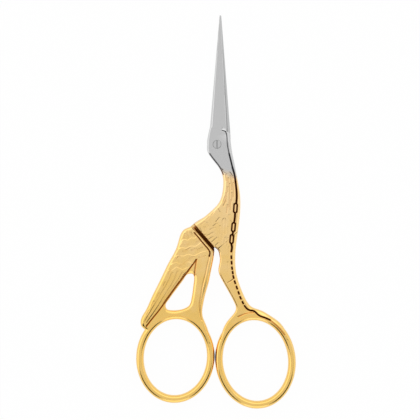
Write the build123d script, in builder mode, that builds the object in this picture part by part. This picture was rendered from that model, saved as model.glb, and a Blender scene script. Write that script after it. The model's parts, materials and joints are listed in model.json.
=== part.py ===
from build123d import *
import os
from math import cos, hypot, radians, sin

# Stork embroidery scissors, closed and lying flat: X to the right, Y to the points, Z up from the table.
# Two forged halves cross at a screw in the bird's eye. The front half is the left blade, the neck and
# breast and the right leg with its bow. The back half is the right blade, the wing and the left leg.

os.makedirs("parts", exist_ok=True)

# Thickness of the two halves and the play between their flat faces
half_thickness = 1.98
ride_gap = 0.04
upper_level = half_thickness + ride_gap
closed_thickness = upper_level + half_thickness

# Blades, measured from the pivot to the points
blade_length = 37.9
blade_lean = 1.0
blade_root_offset = 0.85
blade_root_width = 6.1
blade_tip_width = 0.5
edge_setback = 0.7
tip_setback = 0.1
tip_taper = 0.22
heel_height = 3.5
spine_heel_height = 5.3
blade_lap = 1.2
spine_tip_thickness = 0.5
edge_thickness = 0.5
edge_land = 0.14
edge_land_at_tip = 0.1
edge_bevel = 0.3

# Bird, measured from the pivot down to the top of the left bow. It stands on both bows, so its width
# follows from the distance between their middles.
bird_length = 48.8
lap_gap = 1.1
body_round = 0.7

# Bows: the finger holes, the wire around them, and how they meet when the scissors are closed
left_hole_long = 22.2
left_hole_short = 18.4
left_lean = 4.8
right_hole_long = 23.6
right_hole_short = 19.0
right_lean = -6.8
right_bow_drop = 0.3
bow_width = 2.3
bow_thickness = 3.2
bow_round = 1.0
bow_meeting = -0.62
closing_gap = 0.1

# Pivot screw: head flush with the front face, journal in the front half, thread in the back half
screw_head_diameter = 2.4
screw_head_height = 0.9
screw_diameter = 1.5
thread_diameter = 1.3
running_clearance = 0.04
screw_slot_width = 0.36
screw_slot_depth = 0.4

# Cuts run this far past the faces they go through
overrun = 1.0

# Outline of the bird: shares of the distance between the bows' middles, right of the pivot, and of the
# bird's length, down from the pivot
head_left_shares = [
    (-0.117, -0.042), (-0.125, 0.003), (-0.120, 0.042), (-0.101, 0.060), (-0.047, 0.095), (0.005, 0.126),
    (0.048, 0.160),
]
neck_left_shares = [
    (0.071, 0.194), (0.076, 0.239), (0.061, 0.299), (0.023, 0.347), (-0.057, 0.390),
    (-0.166, 0.435), (-0.291, 0.474),
]
right_leg_inside_shares = [
    (-0.035, 0.615), (0.009, 0.632), (0.029, 0.662), (0.033, 0.700), (0.016, 0.751),
    (0.063, 0.813), (0.145, 0.883), (0.214, 0.946), (0.235, 0.984),
]
cheek_shares = [(0.178, 0.003), (0.196, 0.060), (0.220, 0.114), (0.251, 0.194)]
breast_shares = [(0.277, 0.260), (0.293, 0.332), (0.289, 0.410), (0.273, 0.484)]
right_leg_outside_shares = [
    (0.251, 0.562), (0.233, 0.637), (0.230, 0.703), (0.243, 0.772), (0.293, 0.852),
    (0.357, 0.924),
]
wing_shares = [(-0.396, 0.503), (-0.498, 0.604), (-0.603, 0.705), (-0.709, 0.810), (-0.820, 0.918)]
window_shares = [
    (-0.343, 0.952), (-0.311, 0.882), (-0.291, 0.816), (-0.294, 0.778), (-0.363, 0.777),
    (-0.440, 0.846), (-0.531, 0.900),
]
left_leg_shares = [
    (-0.034, 0.652), (-0.043, 0.688), (-0.069, 0.748), (-0.101, 0.825), (-0.145, 0.900),
    (-0.172, 0.960),
]

# Where the legs, the tail and the window's sill run out on the bows: degrees from the bow's short side and
# shares of the wire's width, out from its middle
right_foot_inside_shares = [(113, 1.02), (124, 0.86), (133, 0)]
right_foot_outside_shares = [(36, 0), (47, 0.64), (61, 0.62), (75, 0.88), (86.7, 1.25)]
tail_foot_shares = [(131, 2.07), (141, 1.66), (151, 0)]
left_foot_shares = [(41, 0), (56, 1.07), (61, 1.57)]
sill_shares = [(103.4, 1.59), (106.3, 1.22), (101.4, 0.78), (91.7, 0.70), (83.2, 1.06)]


class Bow:
    """An oval finger bow. A positive lean tips its top to the right, and side is 1 for the right bow."""

    def __init__(self, hole_long, hole_short, lean, side, drop):
        self.hole_long = hole_long
        self.hole_short = hole_short
        self.lean = lean
        tilt = radians(lean)
        outer_long = hole_long / 2 + bow_width
        outer_short = hole_short / 2 + bow_width
        self.reach_x = hypot(outer_short * cos(tilt), outer_long * sin(tilt))
        self.reach_y = hypot(outer_long * cos(tilt), outer_short * sin(tilt))
        self.x = bow_meeting + side * (closing_gap / 2 + self.reach_x)
        self.y = -bird_length - drop - self.reach_y

    def places(self, shares):
        """Places by angles from the bow's short side and shares of the wire's width out from its middle."""
        tilt = radians(self.lean)
        found = []
        for angle, out_share in shares:
            out = (0.5 + out_share) * bow_width
            across = (self.hole_short / 2 + out) * cos(radians(angle))
            along = (self.hole_long / 2 + out) * sin(radians(angle))
            x = self.x + across * cos(tilt) + along * sin(tilt)
            y = self.y - across * sin(tilt) + along * cos(tilt)
            found.append((pivot_x + x, pivot_y + y))
        return found

    def middle(self, first, last):
        """The middle of the wire, over the top between two angles from the bow's own short side."""
        return EllipticalCenterArc(
            (pivot_x + self.x, pivot_y + self.y), (self.hole_short + bow_width) / 2,
            (self.hole_long + bow_width) / 2, start_angle=first, arc_size=last - first, rotation=-self.lean,
            mode=Mode.PRIVATE,
        )

    def plan(self, level):
        """The ring that the bow covers, at a height above the table."""
        with BuildSketch(Plane.XY.offset(level)) as ring:
            with Locations((pivot_x + self.x, pivot_y + self.y)):
                Ellipse(self.hole_short / 2 + bow_width, self.hole_long / 2 + bow_width, rotation=-self.lean)
                Ellipse(self.hole_short / 2, self.hole_long / 2, rotation=-self.lean, mode=Mode.SUBTRACT)
        return ring.sketch

    def ring(self):
        """The solid bow: an oval wire, thinner than the body and centred in its thickness."""
        with BuildPart() as wire:
            extrude(self.plan(bow_level), amount=bow_thickness)
            fillet(wire.edges().filter_by(GeomType.ELLIPSE), bow_round)
        return wire.part


left_bow = Bow(left_hole_long, left_hole_short, left_lean, -1, 0)
right_bow = Bow(right_hole_long, right_hole_short, right_lean, 1, right_bow_drop)

# The part's origin is on the table, below the middle of the closed scissors
pivot_x = -(left_bow.x - left_bow.reach_x + right_bow.x + right_bow.reach_x) / 2
lowest = min(left_bow.y - left_bow.reach_y, right_bow.y - right_bow.reach_y)
pivot_y = -(blade_length + lowest) / 2
heel_y = pivot_y + heel_height
bow_level = (closed_thickness - bow_thickness) / 2


def at(share):
    """The place in the part's own frame of a share of the bows' distance and of the bird's length."""
    across, down = share
    return (pivot_x + across * (right_bow.x - left_bow.x), pivot_y - down * bird_length)


def beside(start, end, gap):
    """Two places moved to the right of the way from start to end, square to it, by a gap."""
    run = hypot(end[0] - start[0], end[1] - start[1])
    step_x = gap * (end[1] - start[1]) / run
    step_y = gap * (start[0] - end[0]) / run
    return (start[0] + step_x, start[1] + step_y), (end[0] + step_x, end[1] + step_y)


def blade_side(side, height):
    """The place on the closed blades' outline at a height above the pivot: side is 1 on the right."""
    rise = (height - heel_height) / (blade_length - tip_taper - heel_height)
    root = blade_root_offset + side * blade_root_width / 2
    tip = blade_lean + side * blade_tip_width / 2
    return (pivot_x + root + (tip - root) * rise, pivot_y + height)


# Each half steps to full thickness at a wall, and the other half's edge stands a gap away from it
body_wall = (at(neck_left_shares[-1]), at(right_leg_inside_shares[0]))
wing_wall = beside(*body_wall, lap_gap)
breast_wall = (at(right_leg_inside_shares[0]), at(breast_shares[-1]))
leg_wall = beside(*breast_wall, lap_gap)
plating_line = (at(head_left_shares[-1]), at(cheek_shares[-1]))


def right_side(shares, height):
    """The places up the right side of the bird, by a table of shares, to a height on the blade."""
    return [at(share) for share in reversed(cheek_shares + shares)] + [blade_side(1, height)]


def left_side(height):
    """The places down the left side of the bird, from a height on the blade to the shoulder."""
    return [blade_side(-1, height)] + [at(share) for share in head_left_shares + neck_left_shares]


def front_plan(level):
    """The front half without its blade and bow: head, neck, breast and right leg."""
    inside = [at(share) for share in right_leg_inside_shares] + right_bow.places(right_foot_inside_shares)
    outside = right_bow.places(right_foot_outside_shares)
    outside += right_side(breast_shares + right_leg_outside_shares, heel_height)
    with BuildSketch(Plane.XY.offset(level)) as plan:
        with BuildLine():
            Spline(*outside)
            Line(outside[-1], blade_side(-1, spine_heel_height))
            Spline(*left_side(spine_heel_height))
            Line(*body_wall)
            Spline(*inside)
            add(right_bow.middle(right_foot_inside_shares[-1][0], right_foot_outside_shares[0][0]))
        make_face()
    return plan.sketch


def back_plan(level):
    """The back half without its blade and bow: head, neck, breast, wing, tail and left leg."""
    breast = right_side(breast_shares, spine_heel_height)
    wing = [wing_wall[0]] + [at(share) for share in wing_shares] + left_bow.places(tail_foot_shares)
    leg = left_bow.places(left_foot_shares) + [at(share) for share in reversed(left_leg_shares)]
    with BuildSketch(Plane.XY.offset(level)) as plan:
        with BuildLine():
            Spline(*breast)
            Line(breast[-1], blade_side(-1, heel_height))
            Spline(*left_side(heel_height), *wing)
            add(left_bow.middle(tail_foot_shares[-1][0], left_foot_shares[0][0]))
            Spline(*leg, breast_wall[0])
            Line(*breast_wall)
        make_face()
        with BuildLine():
            Spline(*[at(share) for share in window_shares], *left_bow.places(sill_shares), periodic=True)
        make_face(mode=Mode.SUBTRACT)
    return plan.sketch


def rim(part, level):
    """The curved edges of a flat face at a level. The straight walls between the halves stay sharp."""
    return part.edges().filter_by(GeomType.BSPLINE).filter_by_position(Axis.Z, level, level)


def wall_plane(wall):
    """The upright plane along a wall, facing to the right of the way from its start to its end."""
    start, end = wall
    return Plane(origin=start, z_dir=(end[1] - start[1], start[0] - end[0], 0))


def blade_face_plane(side, spine, tip, bevel, heights):
    """The plane through three places on a blade, at heights out from the flat face; it faces outwards."""
    start = half_thickness if side < 0 else upper_level
    places = [Vector(*place, start + side * height) for place, height in zip((spine, tip, bevel), heights)]
    along = places[1] - places[0]
    normal = along.cross(places[2] - places[0])
    if normal.Z * side < 0:
        normal = -normal
    return Plane(origin=places[0], x_dir=along, z_dir=normal)


def blade(side):
    """One blade with its end in the head: side is 1 for the front blade and -1 for the back one."""
    spine_root = blade_side(-side, heel_height)
    spine_tip = blade_side(-side, blade_length - tip_taper)
    edge_root = (blade_side(side, heel_height)[0] - side * edge_setback, heel_y)
    edge_tip = (blade_side(side, blade_length - tip_taper)[0] - side * tip_setback, spine_tip[1])
    bevel_root = (edge_root[0] - side * edge_bevel, heel_y)
    level = upper_level if side > 0 else 0
    with BuildPart() as blank:
        with BuildSketch(Plane.XY.offset(level)):
            with BuildLine():
                Line(spine_root, spine_tip)
                ThreePointArc(spine_tip, (pivot_x + blade_lean, pivot_y + blade_length), edge_tip)
                Polyline(
                    edge_tip, edge_root, (edge_root[0], heel_y - blade_lap),
                    (spine_root[0], heel_y - blade_lap), spine_root,
                )
            make_face()
        extrude(amount=half_thickness)
        face = blade_face_plane(
            side, spine_root, spine_tip, bevel_root, (half_thickness, spine_tip_thickness, edge_thickness)
        )
        split(bisect_by=face, keep=Keep.BOTTOM)
        bevel = blade_face_plane(
            side, edge_root, edge_tip, bevel_root, (edge_land, edge_land_at_tip, edge_thickness)
        )
        split(bisect_by=bevel, keep=Keep.BOTTOM)
    return blank.part


with BuildPart() as front_half:
    extrude(front_plan(upper_level), amount=half_thickness)
    with BuildSketch():
        add(front_plan(0))
        split(bisect_by=wall_plane(leg_wall), keep=Keep.TOP)
    extrude(amount=upper_level)
    fillet(rim(front_half.part, closed_thickness), body_round)
    fillet(rim(front_half.part, 0), body_round)
    add(right_bow.ring())
    add(blade(1))
    with Locations((pivot_x, pivot_y, closed_thickness)):
        CounterBoreHole(
            screw_diameter / 2 + running_clearance, screw_head_diameter / 2 + running_clearance,
            screw_head_height, half_thickness,
        )

with BuildPart() as back_half:
    extrude(back_plan(0), amount=half_thickness)
    with BuildSketch(Plane.XY.offset(half_thickness)):
        add(back_plan(half_thickness))
        split(bisect_by=wall_plane(wing_wall), keep=Keep.TOP)
    extrude(amount=closed_thickness - half_thickness)
    fillet(rim(back_half.part, closed_thickness), body_round)
    fillet(rim(back_half.part, 0), body_round)
    add(left_bow.ring())
    add(blade(-1))
    with Locations((pivot_x, pivot_y, half_thickness)):
        Hole(thread_diameter / 2, half_thickness)

# Each forging is polished steel above the plating line and gold plated below it
for name, forging, keep in (
    ("front_blade", front_half.part, Keep.BOTTOM),
    ("front_handle", front_half.part, Keep.TOP),
    ("back_blade", back_half.part, Keep.BOTTOM),
    ("back_handle", back_half.part, Keep.TOP),
):
    with BuildPart() as piece:
        add(forging)
        split(bisect_by=wall_plane(plating_line), keep=keep)
    piece.part.label = name
    export_step(piece.part, f"parts/{name}.step")

with BuildPart() as pivot_screw:
    with Locations((pivot_x, pivot_y, 0)):
        Cylinder(thread_diameter / 2, half_thickness, align=(Align.CENTER, Align.CENTER, Align.MIN))
    with Locations((pivot_x, pivot_y, half_thickness)):
        Cylinder(screw_diameter / 2, closed_thickness - half_thickness - screw_head_height,
                 align=(Align.CENTER, Align.CENTER, Align.MIN))
    with Locations((pivot_x, pivot_y, closed_thickness)):
        Cylinder(screw_head_diameter / 2, screw_head_height, align=(Align.CENTER, Align.CENTER, Align.MAX))
        Box(screw_slot_width, screw_head_diameter + overrun, 2 * screw_slot_depth, mode=Mode.SUBTRACT)
pivot_screw.part.label = "pivot_screw"
export_step(pivot_screw.part, "parts/pivot_screw.step")
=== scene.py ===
"""Stork embroidery scissors: two forged halves, crossed on a screw at the bird's eye, in plated steel."""

import json
import logging
from dataclasses import dataclass, field
from enum import Enum

import bpy
import numpy as np
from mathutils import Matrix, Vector
from mathutils.bvhtree import BVHTree
from mathutils.geometry import delaunay_2d_cdt

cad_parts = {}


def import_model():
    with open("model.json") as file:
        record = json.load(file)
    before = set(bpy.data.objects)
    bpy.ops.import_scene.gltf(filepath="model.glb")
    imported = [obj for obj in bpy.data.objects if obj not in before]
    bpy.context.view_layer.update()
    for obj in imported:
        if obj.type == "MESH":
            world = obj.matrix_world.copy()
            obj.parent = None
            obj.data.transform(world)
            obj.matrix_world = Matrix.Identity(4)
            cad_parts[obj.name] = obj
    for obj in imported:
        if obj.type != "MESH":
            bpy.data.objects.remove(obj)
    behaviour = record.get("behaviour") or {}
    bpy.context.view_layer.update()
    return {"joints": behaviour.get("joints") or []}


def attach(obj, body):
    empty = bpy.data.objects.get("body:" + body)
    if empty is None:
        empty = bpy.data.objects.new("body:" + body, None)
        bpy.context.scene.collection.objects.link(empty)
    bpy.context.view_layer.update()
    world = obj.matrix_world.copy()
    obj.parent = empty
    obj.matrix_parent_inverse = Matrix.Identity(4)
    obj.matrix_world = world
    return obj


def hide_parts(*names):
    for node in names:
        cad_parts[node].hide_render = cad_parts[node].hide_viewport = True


log = logging.getLogger("scissors")

# Rows of numbers, in any form that numpy reads
Rows = list | tuple | np.ndarray

# Shapes are worked out in millimetres from the pivot, X to the right and Y to the points. The two halves lie
# on each side of the middle level, with a running gap between them
METRES = 0.001
MID_LEVEL = 2.0
RIDE_GAP = 0.04
HALF_THICKNESS = 1.98

# The height of a surface where it has none, the angle in degrees from which an edge is drawn sharp, and how
# many pairs of a place and an edge are tested at once
FAR_BELOW = -9.0
SHARP_ANGLE = 38
LARGEST_BLOCK = 4_000_000

# The photograph's frame: one pixel in millimetres, and the pivot's pixel
PIXEL = 0.2919
PIVOT_PIXEL = np.array((217.0, 144.5))
PHOTO_MIDDLE_PIXEL = np.array((210.0, 210.0))
PHOTO_WIDTH_PIXELS = 420


def from_pixels(pixels: Rows) -> np.ndarray:
    """Places in millimetres from the pivot, of places in the photograph.

    Args:
        pixels: One or more pairs of pixels, right and down.

    Returns:
        The same places, right and up from the pivot.
    """
    return (np.asarray(pixels, float) - PIVOT_PIXEL) * (PIXEL, -PIXEL)


def linear(hex_colour: str) -> tuple:
    """An sRGB hex colour as linear red, green, blue and alpha."""
    shares = [int(hex_colour[i:i + 2], 16) / 255 for i in (1, 3, 5)]
    return tuple(s / 12.92 if s <= 0.04045 else ((s + 0.055) / 1.055) ** 2.4 for s in shares) + (1.0,)


def spans(points: Rows, step: float, closed: bool = False) -> list:
    """A cubic spline through points, cut at each of them.

    Args:
        points: The places that the curve goes through.
        step: The distance between samples.
        closed: Whether the curve runs on from the last point to the first.

    Returns:
        One array of samples for each pair of neighbouring points, both ends included.
    """
    knots = np.asarray(points, float)
    if closed:
        knots = np.vstack([knots, knots[:1]])
    gaps = np.linalg.norm(np.diff(knots, axis=0), axis=1)
    count = len(knots)
    slopes = np.diff(knots, axis=0) / gaps[:, None]
    matrix = np.zeros((count, count))
    right = np.zeros((count, 2))
    for i in range(1, count - 1):
        matrix[i, i - 1:i + 2] = gaps[i - 1], 2 * (gaps[i - 1] + gaps[i]), gaps[i]
        right[i] = 6 * (slopes[i] - slopes[i - 1])
    if closed:
        matrix[0, 0], matrix[0, -1] = 1, -1
        matrix[-1, 0] += 2 * gaps[0]
        matrix[-1, 1] += gaps[0]
        matrix[-1, -2] += gaps[-1]
        matrix[-1, -1] += 2 * gaps[-1]
        right[-1] = 6 * (slopes[0] - slopes[-1])
    else:
        matrix[0, 0] = matrix[-1, -1] = 1
    bend = np.linalg.solve(matrix, right)
    found = []
    for i, gap in enumerate(gaps):
        share = np.linspace(0, 1, max(2, round(gap / step) + 1))[:, None]
        rest = 1 - share
        curve = rest * knots[i] + share * knots[i + 1]
        curve += ((rest**3 - rest) * bend[i] + (share**3 - share) * bend[i + 1]) * gap**2 / 6
        found.append(curve)
    return found


def joined(pieces: list) -> np.ndarray:
    """Stretches that follow each other, as one path without doubled places.

    Args:
        pieces: Arrays of places, each from where the last one ends.

    Returns:
        One path.
    """
    path = np.vstack(pieces)
    keep = np.ones(len(path), bool)
    keep[1:] = np.linalg.norm(np.diff(path, axis=0), axis=1) > 1e-6
    return path[keep]


def straight(start: Rows, end: Rows, step: float) -> np.ndarray:
    """Samples along a straight line, both ends included.

    Args:
        start: The first end.
        end: The other end.
        step: The distance between samples.

    Returns:
        The samples.
    """
    start, end = np.asarray(start, float), np.asarray(end, float)
    share = np.linspace(0, 1, max(2, round(np.linalg.norm(end - start) / step) + 1))[:, None]
    return start + share * (end - start)


def heading(line: Rows) -> np.ndarray:
    """The way along a straight line, one millimetre long."""
    return (line[1] - line[0]) / np.linalg.norm(line[1] - line[0])


def longer(line: np.ndarray, extra: float = 3) -> np.ndarray:
    """A straight line made longer at both ends."""
    return np.array((line[0] - extra * heading(line), line[1] + extra * heading(line)))


def beside(start: np.ndarray, end: np.ndarray, gap: float) -> np.ndarray:
    """A straight line moved to the right of its way by a gap."""
    run = heading((start, end))
    return np.array((start, end)) + gap * np.array((run[1], -run[0]))


def right_of(line: Rows, places: np.ndarray) -> np.ndarray:
    """Distances to the right of the endless line through two places."""
    run, away = heading(line), places - line[0]
    return away[:, 0] * run[1] - away[:, 1] * run[0]


def circle(radius: float, count: int = 48) -> np.ndarray:
    """A circle around the pivot."""
    turn = np.linspace(0, 2 * np.pi, count, endpoint=False)
    return radius * np.stack((np.cos(turn), np.sin(turn)), axis=1)


def looped(loop: np.ndarray) -> np.ndarray:
    """A closed outline as a path that ends where it starts."""
    return np.vstack([loop, loop[:1]])


def smooth(share: np.ndarray) -> np.ndarray:
    """An even start and end between 0 and 1."""
    share = np.clip(share, 0, 1)
    return share**2 * (3 - 2 * share)


def smooth_max(first: np.ndarray, second: np.ndarray, blend: float, sunk: float = 0.3) -> np.ndarray:
    """The higher of two surfaces, with a fillet where they meet, sunk by a share of its size."""
    return (first + second + np.sqrt((first - second) ** 2 + blend**2) - blend * sunk) / 2


def plane(places: np.ndarray, corners: Rows, heights: Rows) -> np.ndarray:
    """Heights at places on the plane through three corners with given heights.

    Args:
        places: Places in millimetres from the pivot.
        corners: Three places.
        heights: Their heights.

    Returns:
        One height for each place.
    """
    system = np.column_stack((np.array(corners), np.ones(3)))
    slope_x, slope_y, start = np.linalg.solve(system, np.array(heights, float))
    return slope_x * places[:, 0] + slope_y * places[:, 1] + start


def within(places: np.ndarray, loop: np.ndarray) -> np.ndarray:
    """Which places lie inside a closed loop.

    Args:
        places: Places in millimetres from the pivot.
        loop: The loop's places in order.

    Returns:
        Yes or no for each place.
    """
    inside = np.zeros(len(places), bool)
    low, high = loop.min(0), loop.max(0)
    near = np.flatnonzero(np.all((places > low) & (places < high), axis=1))
    start, end = loop, np.roll(loop, -1, axis=0)
    for block in np.array_split(near, max(1, len(near) * len(loop) // LARGEST_BLOCK)):
        x, y = places[block, :1], places[block, 1:]
        crosses = (start[:, 1] > y) != (end[:, 1] > y)
        with np.errstate(divide="ignore", invalid="ignore"):
            at = start[:, 0] + (y - start[:, 1]) / (end[:, 1] - start[:, 1]) * (end[:, 0] - start[:, 0])
        inside[block] = (crosses & (x < at)).sum(1) % 2 == 1
    return inside


class Path:
    """A polyline that can be asked how far away places are, and on which side."""

    def __init__(self, points: np.ndarray) -> None:
        """Prepares the search.

        Args:
            points: The polyline's places in order.
        """
        self.points = np.asarray(points, float)
        count = len(self.points)
        low = [(x, y, -1) for x, y in self.points]
        high = [(x, y, 1) for x, y in self.points]
        faces = [(i, i + 1, count + i + 1, count + i) for i in range(count - 1)]
        self.tree = BVHTree.FromPolygons(low + high, faces)

    def away(self, places: np.ndarray, reach: float) -> np.ndarray:
        """Distances from places, minus on the right of the way along the path.

        Args:
            places: The places to measure.
            reach: How far to look.

        Returns:
            One signed distance each, infinite past the reach.
        """
        found = np.full(len(places), np.inf)
        low, high = self.points.min(0) - reach, self.points.max(0) + reach
        for i in np.flatnonzero(np.all((places > low) & (places < high), axis=1)):
            x, y = places[i]
            spot, normal, _, gap = self.tree.find_nearest((x, y, 0), reach)
            if spot is not None:
                side = (x - spot.x) * normal.x + (y - spot.y) * normal.y
                found[i] = -gap if side > 0 else gap
        return found


@dataclass(frozen=True)
class Edge:
    """A stretch of an outline where the face falls away to the side.

    Args of the fields:
        path: The stretch.
        width: How far in from it the fall begins.
        fall: How far the face has fallen at the outline.
        slope: The bevel's fall before the tight round, for each millimetre of the width.
        crease: How the bevel begins, from 0 for a soft bend to 1 for a crease.
    """

    path: Path
    width: float
    fall: float
    slope: float = 0.6
    crease: float = 0.0

    def drop(self, places: np.ndarray) -> np.ndarray:
        """How far the face has fallen: it bends over, or starts with a crease, and ends in a tight round.

        Args:
            places: Places in millimetres from the pivot.

        Returns:
            One fall for each place.
        """
        share = np.clip(1 - np.abs(self.path.away(places, self.width)) / self.width, 0, 1)
        bevel = self.slope * self.width * (self.crease * share + (1 - self.crease) * share**2)
        return bevel + (self.fall - self.slope * self.width) * (1 - np.sqrt(1 - share**6))


class Cut(Enum):
    """How a graver's mark is shaped across its line."""

    GROOVE = "groove"
    RING = "ring"
    LEDGE = "ledge"


@dataclass(frozen=True)
class Mark:
    """One engraved mark: a groove, a groove around a raised bead, or a step that ramps back up.

    Args of the fields:
        path: The line of the mark.
        width, depth: Its size across the line and down.
        cut: Its shape across the line.
        reach: A ring's distance from its line, or how far a ledge ramps back up.
        dark: How dark the plating is in it, from 0 to 1: tarnish in the cut and painted shade in the groove.
    """

    path: Path
    width: float
    depth: float
    cut: Cut = Cut.GROOVE
    reach: float = 0.0
    dark: float = 0.0

    def sink(self, places: np.ndarray) -> np.ndarray:
        """How deep the mark cuts at each place.

        Args:
            places: Places in millimetres from the pivot.

        Returns:
            One depth for each place.
        """
        half = self.width / 2
        if self.cut is Cut.LEDGE:
            side = self.path.away(places, self.reach)
            ramp = np.clip(1 + side / self.reach, 0, 1)
            step = np.clip(-side / half, 0, 1)
            return np.where(np.isfinite(side) & (side < 0), self.depth * ramp * step, 0)
        gap = np.abs(self.path.away(places, self.reach + half))
        if self.cut is Cut.RING:
            gap = np.abs(gap - self.reach)
        share = np.clip(1 - (gap / half) ** 2, 0, 1)
        return self.depth * share**2


@dataclass(frozen=True)
class Bow:
    """An oval finger bow of round wire, leaning by degrees, on the left (-1) or right (1)."""

    hole_long: float
    hole_short: float
    lean: float
    side: int
    drop: float
    wire_width: float = 2.29
    wire_height: float = 1.6
    flatness: float = 2.8
    meeting: float = -0.62
    closing_gap: float = 0.1
    bird_length: float = 48.8

    def middle(self) -> np.ndarray:
        """The middle of the finger hole.

        Returns:
            One place.
        """
        tilt = np.radians(self.lean)
        long, short = self.hole_long / 2 + self.wire_width, self.hole_short / 2 + self.wire_width
        reach_x = np.hypot(short * np.cos(tilt), long * np.sin(tilt))
        reach_y = np.hypot(long * np.cos(tilt), short * np.sin(tilt))
        x = self.meeting + self.side * (self.closing_gap / 2 + reach_x)
        return np.array((x, -self.bird_length - self.drop - reach_y))

    def places(self, shares: Rows) -> np.ndarray:
        """Places by degrees from the short side and shares of the wire's width out from its middle.

        Args:
            shares: Pairs of an angle and a share.

        Returns:
            One place for each pair.
        """
        angle, out_share = np.asarray(shares, float).T
        out, turn, tilt = (0.5 + out_share) * self.wire_width, np.radians(angle), np.radians(self.lean)
        across, along = (self.hole_short / 2 + out) * np.cos(turn), (self.hole_long / 2 + out) * np.sin(turn)
        x = across * np.cos(tilt) + along * np.sin(tilt)
        y = -across * np.sin(tilt) + along * np.cos(tilt)
        return self.middle() + np.stack((x, y), axis=-1)

    def oval(self, out_share: float, first: float = 0, last: float = 360, step: float = 0.18) -> np.ndarray:
        """Samples around the wire, out from its middle by a share of its width, between two angles.

        Args:
            out_share: How far out, in widths of the wire.
            first: The angle to start from, in degrees.
            last: The angle to end at.
            step: The distance between samples.

        Returns:
            The samples, without the last one where the oval is whole.
        """
        count = max(3, round(abs(last - first) / 360 * np.pi * (self.hole_long + self.wire_width) / step))
        angles = np.linspace(first, last, count + 1)
        if last - first == 360:
            angles = angles[:-1]
        return self.places(np.stack((angles, np.full(len(angles), out_share)), axis=1))

    def across(self, places: np.ndarray) -> np.ndarray:
        """How far out from the wire's middle each place is, in half widths of the wire.

        Args:
            places: Places in millimetres from the pivot.

        Returns:
            One distance for each place.
        """
        tilt = np.radians(self.lean)
        x, y = (places - self.middle()).T
        short, long = x * np.cos(tilt) - y * np.sin(tilt), x * np.sin(tilt) + y * np.cos(tilt)
        half_short = (self.hole_short + self.wire_width) / 2
        half_long = (self.hole_long + self.wire_width) / 2
        out = np.hypot(short, long) - (half_short + half_long) / 2
        for _ in range(6):
            u, v = short / (half_short + out), long / (half_long + out)
            slope = -2 * (u**2 / (half_short + out) + v**2 / (half_long + out))
            out = np.maximum(out - (u**2 + v**2 - 1) / slope, -half_short / 2)
        return out * 2 / self.wire_width

    def height(self, places: np.ndarray) -> np.ndarray:
        """The wire's surface above the middle of the thickness, far below it off the wire.

        Args:
            places: Places in millimetres from the pivot.

        Returns:
            One height for each place.
        """
        share = self.across(places)
        rise = self.wire_height * np.sqrt(np.clip(1 - np.abs(share) ** self.flatness, 0, 1))
        return np.where(np.abs(share) < 1, rise, FAR_BELOW)


@dataclass(frozen=True)
class Blade:
    """One blade, with its spine on the left (side 1, the front one) or on the right (side -1)."""

    side: int
    length: float = 37.9
    lean: float = 1.0
    root_offset: float = 0.85
    root_width: float = 6.1
    tip_width: float = 0.5
    edge_setback: float = 0.7
    tip_setback: float = 0.1
    tip_taper: float = 0.22
    heel_height: float = 3.5
    spine_heel_height: float = 5.3
    lap: float = 1.2
    spine_tip_thickness: float = 0.5
    edge_thickness: float = 1.4
    edge_land: float = 0.14
    edge_land_at_tip: float = 0.1
    edge_bevel: float = 0.5
    spine_round_share: float = 0.15
    spine_round_fall: float = 0.8
    step: float = 0.2

    def rise(self, height: float | np.ndarray) -> float | np.ndarray:
        """The share of the way from the heel to the taper at the tip, of one height or of many."""
        return (height - self.heel_height) / (self.length - self.tip_taper - self.heel_height)

    def side_at(self, side: int, height: float | np.ndarray) -> float | np.ndarray:
        """How far right the closed blades' outline is at one height or at many: side is 1 on the right."""
        root = self.root_offset + side * self.root_width / 2
        return root + (self.lean + side * self.tip_width / 2 - root) * self.rise(height)

    def outline_at(self, side: int, height: float) -> np.ndarray:
        """The place on the closed blades' outline at a height: side is 1 on the right."""
        return np.array((self.side_at(side, height), height))

    def corners(self) -> dict:
        """The blade's named places: its spine, edge and bevel at the root and the tip.

        Returns:
            Places by their names.
        """
        tip_height = self.length - self.tip_taper
        setback = np.array((self.side, 0))
        edge_root = self.outline_at(self.side, self.heel_height) - setback * self.edge_setback
        return {
            "spine_root": self.outline_at(-self.side, self.heel_height),
            "spine_tip": self.outline_at(-self.side, tip_height),
            "edge_root": edge_root,
            "edge_tip": self.outline_at(self.side, tip_height) - setback * self.tip_setback,
            "bevel_root": edge_root - setback * self.edge_bevel,
        }

    def plan(self) -> np.ndarray:
        """The closed outline of the blade and of its end inside the head.

        Returns:
            The outline's places.
        """
        at = self.corners()
        low = np.array((0, self.lap))
        corners = (
            at["spine_root"], at["spine_tip"], np.array((self.lean, self.length)), at["edge_tip"],
            at["edge_root"], at["edge_root"] - low, at["spine_root"] - low, at["spine_root"],
        )
        return joined([straight(start, end, self.step) for start, end in zip(corners, corners[1:])])[:-1]

    def face(self, places: np.ndarray) -> np.ndarray:
        """The thickness of the flat ground face, which falls from the spine to the edge and the tip.

        Args:
            places: Places in millimetres from the pivot.

        Returns:
            One thickness for each place.
        """
        at = self.corners()
        heights = (HALF_THICKNESS, self.spine_tip_thickness, self.edge_thickness)
        return plane(places, (at["spine_root"], at["spine_tip"], at["bevel_root"]), heights)

    def height(self, places: np.ndarray) -> np.ndarray:
        """The whole outer face above the middle of the thickness: thick at the spine, thin at the edge.

        Args:
            places: Places in millimetres from the pivot.

        Returns:
            One height for each place.
        """
        at = self.corners()
        face = self.face(places)
        bevel = plane(places, (at["edge_root"], at["edge_tip"], at["bevel_root"]),
                      (self.edge_land, self.edge_land_at_tip, self.edge_thickness))
        width = self.root_width + (self.tip_width - self.root_width) * self.rise(places[:, 1])
        inwards = self.side * (places[:, 0] - self.side_at(-self.side, places[:, 1]))
        share = np.clip(1 - inwards / (width * self.spine_round_share), 0, 1)
        rounded = 1 - self.spine_round_fall * (1 - np.sqrt(1 - share**2))
        return RIDE_GAP / 2 + np.minimum(np.minimum(face, bevel), HALF_THICKNESS) * rounded


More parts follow.
